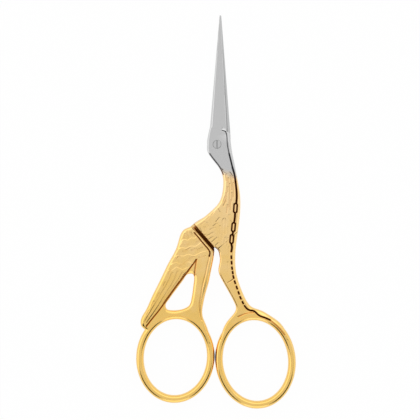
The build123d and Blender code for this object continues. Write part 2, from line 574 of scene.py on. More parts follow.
@dataclass
class Bird:
    """The stork's outline, shared by both halves: shares of the bows' distance and of the bird's length."""

    left_bow: Bow = Bow(22.2, 18.4, 4.8, -1, 0.0)
    right_bow: Bow = Bow(23.6, 19.0, -6.8, 1, 0.3)
    front_blade: Blade = Blade(1)
    back_blade: Blade = Blade(-1)
    lap_gap: float = 1.1
    step: float = 0.18
    head_left_shares: tuple = (
        (-0.117, -0.042), (-0.125, 0.003), (-0.12, 0.042), (-0.101, 0.06), (-0.047, 0.095), (0.005, 0.126),
        (0.048, 0.16),
    )
    neck_left_shares: tuple = (
        (0.071, 0.194), (0.076, 0.239), (0.061, 0.299), (0.023, 0.347), (-0.057, 0.39), (-0.166, 0.435),
        (-0.291, 0.474),
    )
    right_leg_inside_shares: tuple = (
        (-0.035, 0.615), (0.009, 0.632), (0.029, 0.662), (0.033, 0.7), (0.016, 0.751), (0.063, 0.813),
        (0.145, 0.883), (0.214, 0.946), (0.235, 0.984),
    )
    cheek_shares: tuple = ((0.178, 0.003), (0.196, 0.06), (0.22, 0.114), (0.251, 0.194))
    breast_shares: tuple = ((0.277, 0.26), (0.293, 0.332), (0.289, 0.41), (0.273, 0.484))
    right_leg_outside_shares: tuple = (
        (0.251, 0.562), (0.233, 0.637), (0.23, 0.703), (0.243, 0.772), (0.293, 0.852), (0.357, 0.924),
    )
    wing_shares: tuple = ((-0.396, 0.503), (-0.498, 0.604), (-0.603, 0.705), (-0.709, 0.81), (-0.82, 0.918))
    window_pixels: tuple = (
        (187.6, 274.6), (184, 279.2), (180, 284.7), (176, 290.1), (172.2, 295.2), (168.6, 300.2),
        (165.8, 305), (166.8, 309), (171.4, 310.3), (178, 310.1), (184.6, 308.4), (189, 305.4), (191.2, 299),
        (192.4, 292), (193.4, 284), (193.9, 277.4), (192.6, 274.3), (190.2, 273.9),
    )
    left_leg_shares: tuple = (
        (-0.034, 0.652), (-0.043, 0.688), (-0.069, 0.748), (-0.101, 0.825), (-0.145, 0.9), (-0.172, 0.96),
    )
    right_foot_inside_shares: tuple = ((113, 1.02), (124, 0.8), (136, 0.54), (147, 0.3))
    right_foot_outside_shares: tuple = (
        (22, 0.25), (34, 0.47), (47, 0.58), (61, 0.62), (75, 0.88), (86.7, 1.25),
    )
    tail_foot_shares: tuple = ((131, 2.07), (140, 1.72), (145, 1.3), (146.5, 1), (147, 0.5), (151, 0))
    left_foot_shares: tuple = ((24, 0.25), (37, 0.48), (48, 0.76), (56, 1.07), (61, 1.57))

    def at(self, shares: Rows) -> np.ndarray:
        """Places of shares of the distance between the bows' middles and of the bird's length."""
        width = self.right_bow.middle()[0] - self.left_bow.middle()[0]
        return np.asarray(shares, float) * (width, -self.left_bow.bird_length)

    def walls(self) -> dict:
        """The straight walls where each half steps to full thickness, and the edges that face them.

        Returns:
            Straight lines by their names.
        """
        shoulder, crotch = self.at(self.neck_left_shares[-1]), self.at(self.right_leg_inside_shares[0])
        breast = self.at(self.breast_shares[-1])
        return {
            "body": np.array((shoulder, crotch)), "wing": beside(shoulder, crotch, self.lap_gap),
            "breast": np.array((crotch, breast)), "leg": beside(crotch, breast, self.lap_gap),
        }

    def plating_line(self) -> np.ndarray:
        """The line across the neck where the gold begins."""
        return np.array((self.at(self.head_left_shares[-1]), self.at(self.cheek_shares[-1])))


@dataclass
class Plate:
    """A piece described by heights over its plan, meshed as one closed skin.

    Args of the fields:
        loops: Closed outlines of the plan's parts, which may overlap.
        inside: A function that says which places the plan covers.
        top, bottom: Functions that give the two faces' levels over the table at places.
        rows: Distances in from the outline at which the skin has a row of places.
        relief: A function that gives the engraving's depth at places, or nothing.
        steps: Straight lines across which a level jumps.
        cuts: Lines that triangles don't cross, where the skin may be cut into pieces or its colour ends.
        step_width: The width in which a level jumps.
        coarse, fine: The nets' spacing, on the plain faces and where the relief bends.
        bend_limit: The bend of the relief, over one fine spacing, from which the net is fine.
        row_share: The share of a row's distance that its places keep from the whole outline.
    """

    loops: list
    inside: object
    top: object
    bottom: object
    rows: tuple
    relief: object = None
    steps: list = field(default_factory=list)
    cuts: list = field(default_factory=list)
    step_width: float = 0.015
    coarse: float = 0.32
    fine: float = 0.1
    bend_limit: float = 0.0012
    row_share: float = 0.93

    def outline(self) -> list:
        """The closed outlines of all the plan's parts together, with the plan on their left."""
        places, triangles = self.triangles(self.loops, [], np.empty((0, 2)))
        return chained(places, triangles)

    def triangles(self, loops: list, lines: list, seeds: np.ndarray) -> tuple:
        """Triangles over the plan.

        Args:
            loops: Closed paths that triangles don't cross.
            lines: Open paths that triangles don't cross.
            seeds: Further places to use.

        Returns:
            Places and the triangles' indices, counter-clockwise.
        """
        points, edges = [], []
        for number, path in enumerate([*loops, *lines]):
            first, count = len(points), len(path)
            points.extend(path)
            edges.extend((first + i, first + i + 1) for i in range(count - 1))
            if number < len(loops):
                edges.append((first + count - 1, first))
        known = len(points)
        points.extend(seeds)
        result = delaunay_2d_cdt([Vector(p) for p in points], edges, [], 0, 1e-6, True)
        places = np.array([(v.x, v.y) for v in result[0]])
        triangles = np.array(result[2])
        seeded = np.array([any(i >= known for i in origins) for origins in result[3]])
        inside = seeded[triangles].any(1)
        unsure = np.flatnonzero(~inside)
        inside[unsure] = self.inside(places[triangles[unsure]].mean(1))
        return places, triangles[inside]

    def seeds(self, outline: list) -> np.ndarray:
        """Places inside the plan: rows along the outline, a coarse net, and a fine one on the relief.

        Args:
            outline: The closed outlines.

        Returns:
            The places.
        """
        borders = [Path(looped(loop)) for loop in outline]
        found = []
        for gap in self.rows:
            for loop in outline:
                run = np.roll(loop, -1, axis=0) - np.roll(loop, 1, axis=0)
                run /= np.linalg.norm(run, axis=1)[:, None]
                row = loop + gap * np.stack((-run[:, 1], run[:, 0]), axis=1)
                found.append(row[self.clear(row, borders, self.row_share * gap)])
        low, high = np.vstack(outline).min(0), np.vstack(outline).max(0)
        net = honeycomb(low, high, self.coarse)
        found.append(net[self.clear(net, borders, self.rows[-1] + self.coarse / 2)])
        if self.relief:
            net = honeycomb(low, high, self.fine)
            bend = np.zeros(len(net))
            here = self.relief(net)
            for way in ((self.fine, 0), (0, self.fine)):
                bend += np.abs(self.relief(net + way) + self.relief(net - way) - 2 * here)
            net = net[bend > self.bend_limit]
            found.append(net[self.clear(net, borders, self.fine / 2)])
        return np.vstack(found)

    def clear(self, places: np.ndarray, borders: list, gap: float) -> np.ndarray:
        """Which places are inside the plan and no nearer to its outline than a gap.

        Args:
            places: Places in millimetres from the pivot.
            borders: The outlines as paths.
            gap: The least distance.

        Returns:
            Yes or no for each place.
        """
        good = self.inside(places)
        for border in borders:
            kept = np.flatnonzero(good)
            good[kept] = np.abs(border.away(places[kept], gap)) >= gap
        return good

    def skin(self) -> tuple:
        """The whole plan's triangles and the two faces' levels at their places.

        Returns:
            Places, triangles, and the levels of the top and the bottom.
        """
        outline = self.outline()
        lines = list(self.cuts)
        for line in self.steps:
            run = heading(line)
            off = self.step_width / 2 * np.array((run[1], -run[0]))
            lines += [line + off, line - off]
        places, triangles = self.triangles(outline, lines, self.seeds(outline))
        return places, triangles, self.top(places), self.bottom(places)


def honeycomb(low: np.ndarray, high: np.ndarray, step: float, row_share: float = 0.866) -> np.ndarray:
    """A net of places over a box, a step apart in each row, with the rows apart by a share of it.

    Args:
        low: The box's lower left corner.
        high: Its upper right corner.
        step: The distance between neighbours in a row.
        row_share: The distance between rows, as a share of the step.

    Returns:
        The net's places.
    """
    found = []
    for row, y in enumerate(np.arange(low[1], high[1], step * row_share)):
        x = np.arange(low[0] + (row % 2) * step / 2, high[0], step)
        found.append(np.stack((x, np.full(len(x), y)), axis=1))
    return np.vstack(found)


def border_edges(triangles: np.ndarray) -> list:
    """The edges that only one triangle has, with that triangle on their left.

    Args:
        triangles: The triangles' indices.

    Returns:
        Pairs of indices.
    """
    edges = np.vstack((triangles[:, :2], triangles[:, 1:], triangles[:, ::2][:, ::-1]))
    known = {tuple(edge) for edge in edges.tolist()}
    return [(a, b) for a, b in known if (b, a) not in known]


def chained(places: np.ndarray, triangles: np.ndarray) -> list:
    """The closed paths around triangles.

    Args:
        places: Places in millimetres from the pivot.
        triangles: The triangles' indices.

    Returns:
        One array of places for each path.
    """
    following = dict(sorted(border_edges(triangles)))
    loops = []
    while following:
        start = min(following)
        loop, here = [start], following.pop(start)
        while here != start:
            loop.append(here)
            here = following.pop(here)
        loops.append(places[loop])
    return loops


def mesh_object(
    name: str, skin: tuple, chosen: np.ndarray, pivot: np.ndarray, marks: dict,
) -> bpy.types.Object:
    """A closed mesh of part of a plate's skin.

    Args:
        name: The object's name.
        skin: Places, triangles and the levels of the top and bottom.
        chosen: Which triangles the piece holds.
        pivot: The pivot's place in the part's frame, in millimetres.
        marks: Named values at each place of the top and of the bottom, kept as point attributes.

    Returns:
        The new object.
    """
    places, triangles, top, bottom = skin
    triangles = triangles[chosen]
    used = np.unique(triangles)
    index = np.zeros(len(places), int)
    index[used] = np.arange(len(used))
    triangles = index[triangles]
    count = len(used)
    flat = places[used] + pivot
    points = np.vstack([np.column_stack((flat, level[used])) for level in (top, bottom)]) * METRES
    sides = [(a + count, b + count, b, a) for a, b in sorted(border_edges(triangles))]
    faces = triangles.tolist() + (triangles[:, ::-1] + count).tolist() + sides
    mesh = bpy.data.meshes.new(name)
    mesh.from_pydata(points.tolist(), [], faces)
    for key, (high, low) in marks.items():
        values = np.concatenate((high[used], low[used])).astype(np.float32)
        mesh.attributes.new(key, "FLOAT", "POINT").data.foreach_set("value", values)
    mesh.validate()
    mesh.polygons.foreach_set("use_smooth", np.ones(len(mesh.polygons), bool))
    mesh.set_sharp_from_angle(angle=np.radians(SHARP_ANGLE))
    made = bpy.data.objects.new(name, mesh)
    bpy.context.scene.collection.objects.link(made)
    log.info("%s: %d places, %d faces", name, len(mesh.vertices), len(mesh.polygons))
    return made


class Engraving:
    """The feathers and beads cut into both outer faces, read from the photograph in pixels."""

    # The distance between samples, a notch's half length as a share of the way to the next one, and how fast
    # a mark darkens with its depth
    step = 0.2
    notch_share = 0.2
    full_dark_share = 2.4

    # Width, depth and darkness of the strokes that come in numbers
    links, notches, neck, breast = (0.8, 0.2, 1.0), (0.7, 0.2, 1.0), (0.72, 0.09, 0.14), (0.76, 0.066, 0.06)
    wing_dashes, tail_lines, tail_dashes = (0.76, 0.066, 0.1), (0.84, 0.061, 0.08), (0.7, 0.058, 0.1)

    # Width, depth, shape, reach and darkness of the beads' rings, and of the ledges between rows of feathers
    bead_ring = (0.66, 0.2, Cut.RING, 0.46, 1.0)
    feather_ledge = (0.62, 0.13, Cut.LEDGE, 1.5)

    def __init__(self) -> None:
        """Makes every mark."""
        self.front_marks = self.beads() + self.leg() + self.breast_feathers()
        self.back_marks = self.wing_lines() + self.wing_feathers() + self.tail_feathers()

    def strokes(self, size: tuple, *lines: Rows) -> list:
        """Grooves through places in the photograph.

        Args:
            size: The width, depth and darkness of each.
            lines: One or more rows of pixels.

        Returns:
            One mark for each row.
        """
        paths = [from_pixels(line) for line in lines]
        paths = [joined(spans(path, self.step)) if len(path) > 2 else path for path in paths]
        width, depth, dark = size
        return [Mark(Path(path), width, depth, dark=dark) for path in paths]

    def beads(self) -> list:
        """Oval feathers down the breast in ring grooves, with the lines between and above them.

        Returns:
            The marks.
        """
        beads = (
            ((235.6, 205.2), (235.2, 211.2)), ((233.7, 224.4), (233.2, 230)),
            ((231.9, 236.4), (231.5, 241.8)),
        )
        links = (
            ((232.4, 167.6), (234.6, 175.6), (235.4, 181), (236.3, 189), (236.7, 197), (236.2, 203.4)),
            ((235, 213.5), (234.8, 217.5), (234.2, 221.8)), ((233, 231.8), (232.5, 234.6)),
            ((231.3, 244), (231.9, 247.5), (231.2, 251.5)),
        )
        lip = ((222.4, 128.6), (226, 129.9), (229.6, 132))
        # The nape and chin lines are grooves whose darkness paints the dark reflection of the rounded edges
        # beside them
        nape = ((222.4, 130.6), (225.2, 131.6), (226.6, 134.8), (227.1, 141), (227.7, 147), (229, 153.6))
        lower_nape = ((229, 153.6), (230.6, 160), (232.6, 168.4))
        chin = ((209.8, 154), (213.7, 159.4), (217.8, 164.6), (221.3, 170), (223.2, 174.4))
        return [
            *(Mark(Path(from_pixels(bead)), *self.bead_ring) for bead in beads),
            *self.strokes(self.links, *links),
            *self.strokes((0.6, 0.12, 0.0), lip), *self.strokes((0.44, 0.16, 0.85), nape),
            *self.strokes((0.64, 0.18, 1.0), lower_nape), *self.strokes((0.44, 0.15, 0.85), chin),
        ]

    def leg(self) -> list:
        """Short cuts down the leg that run into one line over the foot, and the lines around them.

        Returns:
            The marks.
        """
        middles = np.array((
            (231.3, 257.3), (231.6, 262.8), (232.0, 268.2), (232.7, 272.6), (233.4, 277.0), (234.9, 282.2),
            (236.8, 287.6), (238.7, 292.9), (240.5, 297.8), (242.8, 302.6), (244.8, 306.8),
        ))
        runs = np.diff(middles, axis=0) * self.notch_share
        notches = [(place - run, place + run) for place, run in zip(middles, runs)]
        line = (
            (244.6, 305.8), (247, 308.6), (250, 310.2), (253.6, 310.8), (256.4, 313), (258.8, 315.2),
            (264, 317.2), (270, 319.8),
        )
        wire = ((269.4, 319.5), (274.6, 323.6), (280.2, 329.2), (284.6, 334.6))
        garter = ((228, 282.4), (231, 280.8), (233.4, 279))
        ledge = ((238.6, 316.6), (243, 314.4), (248, 312.8), (253.4, 312.6))
        crotch = ((213.6, 247.2), (216.6, 248.9), (218.8, 252.4), (219.6, 256.4))
        return [
            *self.strokes(self.notches, *notches, line), *self.strokes((0.5, 0.1, 0.2), garter),
            *self.strokes((0.6, 0.14, 0.35), ledge), *self.strokes((0.4, 0.12, 0.6), crotch),
            *self.strokes((0.6, 0.1, 0.35), wire),
        ]

    def breast_feathers(self) -> list:
        """Fine strokes on the neck, slanting ones on the breast and long ones beside the beads.

        Returns:
            The marks.
        """
        neck = (
            ((225.9, 174.6), (226.6, 180.5)), ((227.3, 187.4), (227.6, 192)),
            ((230.5, 176), (231.6, 182), (232, 190)), ((233, 183), (233.6, 190), (233.5, 197)),
            ((229.4, 184), (229.8, 196), (229, 207)), ((226.4, 193), (226.2, 202)),
            ((223.6, 206), (226.4, 198.8)), ((232.2, 193), (232, 201)), ((228.2, 178.4), (228.4, 183.2)),
            ((230.6, 200), (230.4, 210)), ((227.6, 205), (226.6, 213)),
            ((229.7, 172.6), (231.4, 175.2), (233.2, 178.4)), ((225.2, 196.4), (223.4, 201.6)),
        )
        breast = (
            ((218, 209.5), (219.6, 212.5)), ((216, 222.2), (219.6, 217.8)), ((213.2, 226.4), (216.9, 223.6)),
            ((204.6, 227.4), (205.1, 231.8)), ((208, 226.6), (207, 222.6)), ((206, 236.6), (213.4, 232.6)),
            ((208.6, 239.8), (212.8, 237)), ((212, 242.2), (217.4, 237.4)), ((215.6, 245.8), (218.5, 243)),
            ((210.4, 229.8), (214.8, 227.6)), ((201.2, 224.6), (204.2, 221.6)),
            ((206.6, 219.6), (209.2, 216.8)), ((211.6, 215.2), (213.6, 212.2)),
            ((199.4, 228.4), (201.4, 232)), ((203, 236.6), (205.8, 234.6)), ((220.1, 226), (220.3, 234)),
            ((228.2, 226.6), (228.3, 235.6)), ((229.3, 215), (229.6, 219.6), (231, 222.4)),
            ((225.2, 237.6), (224.2, 243.8)), ((222.4, 232), (222, 240)), ((227.4, 238), (227, 246)),
            ((228.6, 247), (228.8, 256)), ((227.8, 262), (228.4, 272)),
            ((222.4, 233), (222.5, 224), (223, 220.2), (224.2, 218.6), (225.3, 220.4), (225.6, 226),
             (225.2, 234)),
        )
        return self.strokes(self.neck, *neck) + self.strokes(self.breast, *breast)

    def wing_lines(self) -> list:
        """Long grooves that run beside the wall, down the left leg and along the tail.

        Returns:
            The marks.
        """
        wall = ((194.3, 232.6), (200.6, 240.1), (205.3, 245.8), (209, 250.4), (209.9, 252.4))
        corner = ((209.7, 251.6), (209.9, 253.4), (209.3, 256.2))
        leg = (
            (209.2, 255.6), (208.8, 259), (207.4, 265), (205.6, 274), (203, 284), (201.2, 294), (199.6, 304),
            (199.6, 312), (201.5, 320),
        )
        tail = (
            (196.6, 259.4), (193, 264.4), (187.6, 271.6), (181, 279.8), (173.6, 289.8), (165.4, 301.4),
            (160, 309.2), (152.4, 318.6), (146.6, 326.2),
        )
        web = ((196.6, 259.4), (195.9, 264), (195, 270), (194.6, 275))
        return [
            *self.strokes((0.5, 0.14, 0.8), wall), *self.strokes((0.56, 0.16, 0.95), corner),
            *self.strokes((0.66, 0.14, 0.16), leg), *self.strokes((0.6, 0.15, 0.6), tail),
            *self.strokes((0.7, 0.14, 0.4), web),
        ]

    def wing_feathers(self) -> list:
        """Rows of overlapping feathers across the wing, each row a step down to the next.

        Returns:
            The marks.
        """
        rows = (
            ((181.4, 242.4), (184.6, 239.6), (187.6, 240.6), (191, 238.4), (194.4, 238.6), (196.8, 236.4)),
            ((178.2, 249.6), (182.6, 248), (186.4, 248.6), (190.6, 246.4), (194.6, 246.6), (200.6, 243)),
            ((174.6, 257.4), (179.4, 255.8), (183.6, 256.4), (188.4, 254.6), (193.4, 256), (197.6, 254.4),
             (205, 251.4)),
            ((171.6, 264.6), (176.6, 263), (181.4, 264.6), (186, 262.4), (190.6, 262.6)),
            ((168.6, 270.6), (172.6, 270.2), (176.8, 267.4), (181.6, 269.6), (186.6, 268.2)),
        )
        dashes = (
            ((187.4, 231.4), (187.6, 235), (188.4, 238)), ((183, 251.4), (186, 250.4), (189.6, 248.2)),
            ((176.4, 258.6), (179.8, 255.8)), ((183.2, 263.6), (188.2, 260.4)),
            ((183.6, 244.6), (188.2, 243.8)), ((189.4, 258.6), (193.6, 256.8)),
            ((191.6, 250.6), (196.2, 248.6)), ((197.6, 249.8), (202.2, 247.6)),
            ((196.4, 242.4), (199.6, 240.4)), ((178.6, 266.8), (181.8, 264.4)),
            ((199.4, 257.4), (204.6, 256)), ((190.6, 232.4), (192.2, 235.4)), ((184.8, 234.2), (184, 238)),
            ((170.8, 269.6), (168.8, 273.4)),
        )
        paths = [Path(joined(spans(from_pixels(row[::-1]), self.step))) for row in rows]
        return [Mark(path, *self.feather_ledge) for path in paths] + self.strokes(self.wing_dashes, *dashes)

    def tail_feathers(self) -> list:
        """Long feathers side by side down the tail, and dashes along its rounded left edge.

        Returns:
            The marks.
        """
        lines = (
            ((177.6, 271.4), (174, 281), (167.6, 291.4), (160.8, 302.6), (153.6, 313.6), (147.2, 322.4)),
            ((182.6, 272.6), (177.6, 281.4), (170.6, 290.6), (163.6, 300.6), (156.6, 310.6), (150.2, 318.8)),
            ((172.4, 273), (168.6, 281.6), (163.2, 290.8), (157, 301.4), (150.4, 312.4), (144.6, 322.2)),
        )
        dashes = (
            ((181.4, 239.6), (180.8, 243.4)), ((176.8, 253.6), (175.6, 257.4)),
            ((169.6, 270.4), (168.4, 274.2)), ((165.2, 282), (163.8, 285.8)),
            ((158.8, 293.2), (156.8, 297.2)), ((153.8, 301.4), (151.8, 305.4)),
            ((148.8, 310.4), (146.8, 314.4)),
        )
        return self.strokes(self.tail_lines, *lines) + self.strokes(self.tail_dashes, *dashes)

    def sink(self, places: np.ndarray, marks: list) -> np.ndarray:
        """How deep a set of marks cuts at places.

        Args:
            places: Places in millimetres from the pivot.
            marks: The marks.

        Returns:
            One depth for each place.
        """
        deepest = np.zeros(len(places))
        for mark in marks:
            deepest = np.maximum(deepest, mark.sink(places))
        return deepest

    def stain(self, places: np.ndarray, marks: list) -> np.ndarray:
        """How dark the marks are at places, from 0 to 1: tarnish in the cuts and painted shade in the
        grooves.

        Args:
            places: Places in millimetres from the pivot.
            marks: The marks.

        Returns:
            One share for each place.
        """
        darkest = np.zeros(len(places))
        for mark in marks:
            if mark.dark:
                share = np.clip(self.full_dark_share * mark.sink(places) / mark.depth, 0, 1)
                darkest = np.maximum(darkest, mark.dark * share)
        return darkest


class Half:
    """What both forged halves share: the edges, the bow, the blade and the painted shade where the bows meet.
    """

    name = "half"
    full_wall = ""
    rows = (0.02, 0.07, 0.14, 0.24, 0.36, 0.5, 0.66, 0.84, 1.0, 1.12, 1.26)
    least_height = 0.06
    blend = 0.3

    # Painted shade on the bows where they meet, standing for the shade between the touching wires: its height
    # on them, its darkness, its half width with the soft share, its half length
    contact_height = -61.6
    contact_shade_strength = 0.62
    contact_width, contact_soft, contact_length = 0.6, 1.25, 3.4

    # The face sinks towards the bow, from a distance in half widths of the wire, and towards the blade
    bow_sink, bow_near, bow_far = 0.34, 0.6, 5
    blade_start, blade_rise = -0.3, 4.2

    # Width, fall, slope and crease of the edges: breast and cheek, head, chin and neck; walls; heels
    edge_sizes = ((1.2, 1.9, 0.5, 0.9), (0.8, 1.85, 0.25), (0.35, 1.85, 0.8, 0.6), (1.2, 1.85, 0.34))
    wall_edge = (0.24, 0.2, 0.5)
    heel_edge = (0.35, 1.9, 0.6, 0.6)

    def __init__(self, bird: Bird, engraving: Engraving, bow: Bow, blade: Blade) -> None:
        """Keeps the outline's numbers, the engraving, and the half's own bow and blade.

        Args:
            bird: The outline's numbers.
            engraving: The marks of both faces.
            bow: The half's bow.
            blade: The half's blade.
        """
        self.bird, self.engraving, self.bow, self.blade = bird, engraving, bow, blade
        self.walls = bird.walls()
        self.marks = []
        self.cuts = []

    def close(self, plan: np.ndarray, windows: list, hole_radius: float) -> None:
        """Keeps the plan's closed loops: the body with its windows, the bow, the blade and the hole.

        Args:
            plan: The body's outline.
            windows: The openings in it.
            hole_radius: The screw hole's radius.
        """
        self.plan = plan
        self.loops = [(plan, windows), (self.bow.oval(0.5), [self.bow.oval(-0.5)]), (self.blade.plan(), [])]
        self.hole = circle(hole_radius)

    def shared_edges(self, right: list, left: list) -> list:
        """The edges that both halves have: on the right, and on the left along head, chin and neck."""
        runs = (right, left[:3], left[3:7], left[7:])
        return [Edge(Path(joined(run)), *sizes) for run, sizes in zip(runs, self.edge_sizes)]

    def inside(self, places: np.ndarray) -> np.ndarray:
        """Which places the half covers.

        Args:
            places: Places in millimetres from the pivot.

        Returns:
            Yes or no for each place.
        """
        covered = np.zeros(len(places), bool)
        for solid, gaps in self.loops:
            part = within(places, solid)
            for gap in gaps:
                part &= ~within(places, gap)
            covered |= part
        return covered & ~within(places, self.hole)

    def relief(self, places: np.ndarray) -> np.ndarray:
        """How deep the engraving cuts."""
        return self.engraving.sink(places, self.marks)

    def contact_shade(self, places: np.ndarray) -> np.ndarray:
        """Painted shade on the gold where the two bows meet, standing for the shade between the touching
        wires.

        Args:
            places: Places in millimetres from the pivot.

        Returns:
            One share for each place.
        """
        x, y = np.abs(places - (self.bow.meeting, self.contact_height)).T
        across = smooth(self.contact_soft - x / self.contact_width)
        return self.contact_shade_strength * across * smooth(1 - y / self.contact_length)

    def body_height(self, places: np.ndarray, edges: list) -> np.ndarray:
        """The bird's own face above the middle, sinking a little to the bow and the blade.

        Args:
            places: Places in millimetres from the pivot.
            edges: The edges of that face.

        Returns:
            One height for each place.
        """
        near_bow = np.clip((self.bow.across(places) - self.bow_near) / self.bow_far, 0, 1)
        level = MID_LEVEL - self.bow_sink * (1 - near_bow) ** 2
        rise = smooth((places[:, 1] - self.blade_start) / self.blade_rise)
        level -= np.clip(level - self.blade.face(places), 0, 1) * rise
        drop = np.zeros(len(places))
        for edge in edges:
            drop = np.maximum(drop, edge.drop(places))
        return np.where(within(places, self.plan), np.maximum(level - drop, self.least_height), FAR_BELOW)

    def height(self, places: np.ndarray, edges: list) -> np.ndarray:
        """The outer face above the middle of the thickness: body, bow and blade, less the engraving.

        Args:
            places: Places in millimetres from the pivot.
            edges: The edges of that face.

        Returns:
            One height for each place.
        """
        height = smooth_max(self.body_height(places, edges), self.bow.height(places), self.blend)
        on_blade = within(places, self.loops[2][0])
        height = np.where(on_blade, np.maximum(height, self.blade.height(places)), height)
        return np.maximum(height - self.relief(places), self.least_height)

    def plate(self) -> Plate:
        """The half as a plate, with the step at its wall.

        Returns:
            The plate.
        """
        loops = [loop for solid, gaps in self.loops for loop in (solid, *gaps)] + [self.hole]
        return Plate(
            loops, self.inside, self.top, self.bottom, self.rows, self.relief,
            steps=[longer(self.walls[self.full_wall])], cuts=[longer(self.bird.plating_line()), *self.cuts],
        )


class FrontHalf(Half):
    """The front forging: left blade, head, neck, breast, and the right leg with its bow."""

    name = "front"
    full_wall = "leg"
    screw_hole = 0.79
    head_hole = 1.24
    head_level = 3.1
    seat_step = 0.015
    seat_slack = 0.002
    leg_edge = (0.45, 1.85, 0.6, 1.0)
    # Painted shade along the wall that faces the wing: how far it reaches and how dark it is
    wall_reach = 0.3
    wall_shade = 0.7

    def __init__(self, bird: Bird, engraving: Engraving) -> None:
        """Works out the plan and the edges.

        Args:
            bird: The outline's numbers.
            engraving: The marks of both faces.
        """
        super().__init__(bird, engraving, bird.right_bow, bird.front_blade)
        self.marks = engraving.front_marks
        self.cuts = [looped(circle(radius)) for radius in (self.head_hole, self.head_hole + self.seat_step)]
        b, bow, blade = bird, self.bow, self.blade
        outside = list(bow.places(b.right_foot_outside_shares)) + list(b.at(b.right_leg_outside_shares))[::-1]
        outside += list(b.at(b.breast_shares))[::-1] + list(b.at(b.cheek_shares))[::-1]
        outside = spans(outside + [blade.outline_at(1, blade.heel_height)], b.step)
        spine_heel = blade.outline_at(-1, blade.spine_heel_height)
        heel = straight(outside[-1][-1], spine_heel, b.step)
        left = spans([spine_heel, *b.at(b.head_left_shares), *b.at(b.neck_left_shares)], b.step)
        inside = spans([*b.at(b.right_leg_inside_shares), *bow.places(b.right_foot_inside_shares)], b.step)
        arc = bow.oval(0, b.right_foot_inside_shares[-1][0], b.right_foot_outside_shares[0][0])
        body_wall = straight(*self.walls["body"], b.step)
        self.close(joined([*outside, heel, *left, body_wall, *inside, arc])[:-1], [], self.screw_hole)
        edges = self.shared_edges(outside, left) + [Edge(Path(joined(inside)), *self.leg_edge)]
        heel_run = heel[:len(heel) * 2 // 5]  # The part of the heel that lies beside the blade
        self.top_edges = [
            *edges, Edge(Path(body_wall), *self.wall_edge), Edge(Path(heel_run), *self.heel_edge),
        ]
        self.bottom_edges = [*edges, Edge(Path(self.walls["leg"]), *self.wall_edge)]

    def stains_and_shade(self, places: np.ndarray) -> tuple:
        """How dark the plating is on the top and on the bottom: the engraving's cuts, painted shade where the
        bows meet, and painted shade along the wall that faces the wing.

        Args:
            places: Places in millimetres from the pivot.

        Returns:
            The top's and the bottom's shares, from 0 to 1.
        """
        engraved, contact_shade = self.engraving.stain(places, self.marks), self.contact_shade(places)
        behind = np.where(right_of(self.walls["leg"], places) > 0, engraved, 0)
        wall = np.abs(Path(self.walls["body"]).away(places, self.wall_reach))
        top = np.maximum(engraved, np.maximum(contact_shade, self.wall_shade * smooth(1 - wall / self.wall_reach)))
        # The bottom near the wall is painted fully dark, so the wall's own side shows painted shade
        return top, np.where(np.isfinite(wall), 1.0, np.maximum(behind, contact_shade))

    def top(self, places: np.ndarray) -> np.ndarray:
        """The level of the front face, with the seat of the screw's head."""
        level = MID_LEVEL + self.height(places, self.top_edges)
        return np.where(np.hypot(*places.T) < self.head_hole + self.seat_slack, self.head_level, level)

    def bottom(self, places: np.ndarray) -> np.ndarray:
        """The level of the back face: flat behind the body, rounded behind the leg and bow."""
        level = MID_LEVEL - self.height(places, self.bottom_edges)
        return np.where(right_of(self.walls["leg"], places) > 0, level, MID_LEVEL + RIDE_GAP / 2)


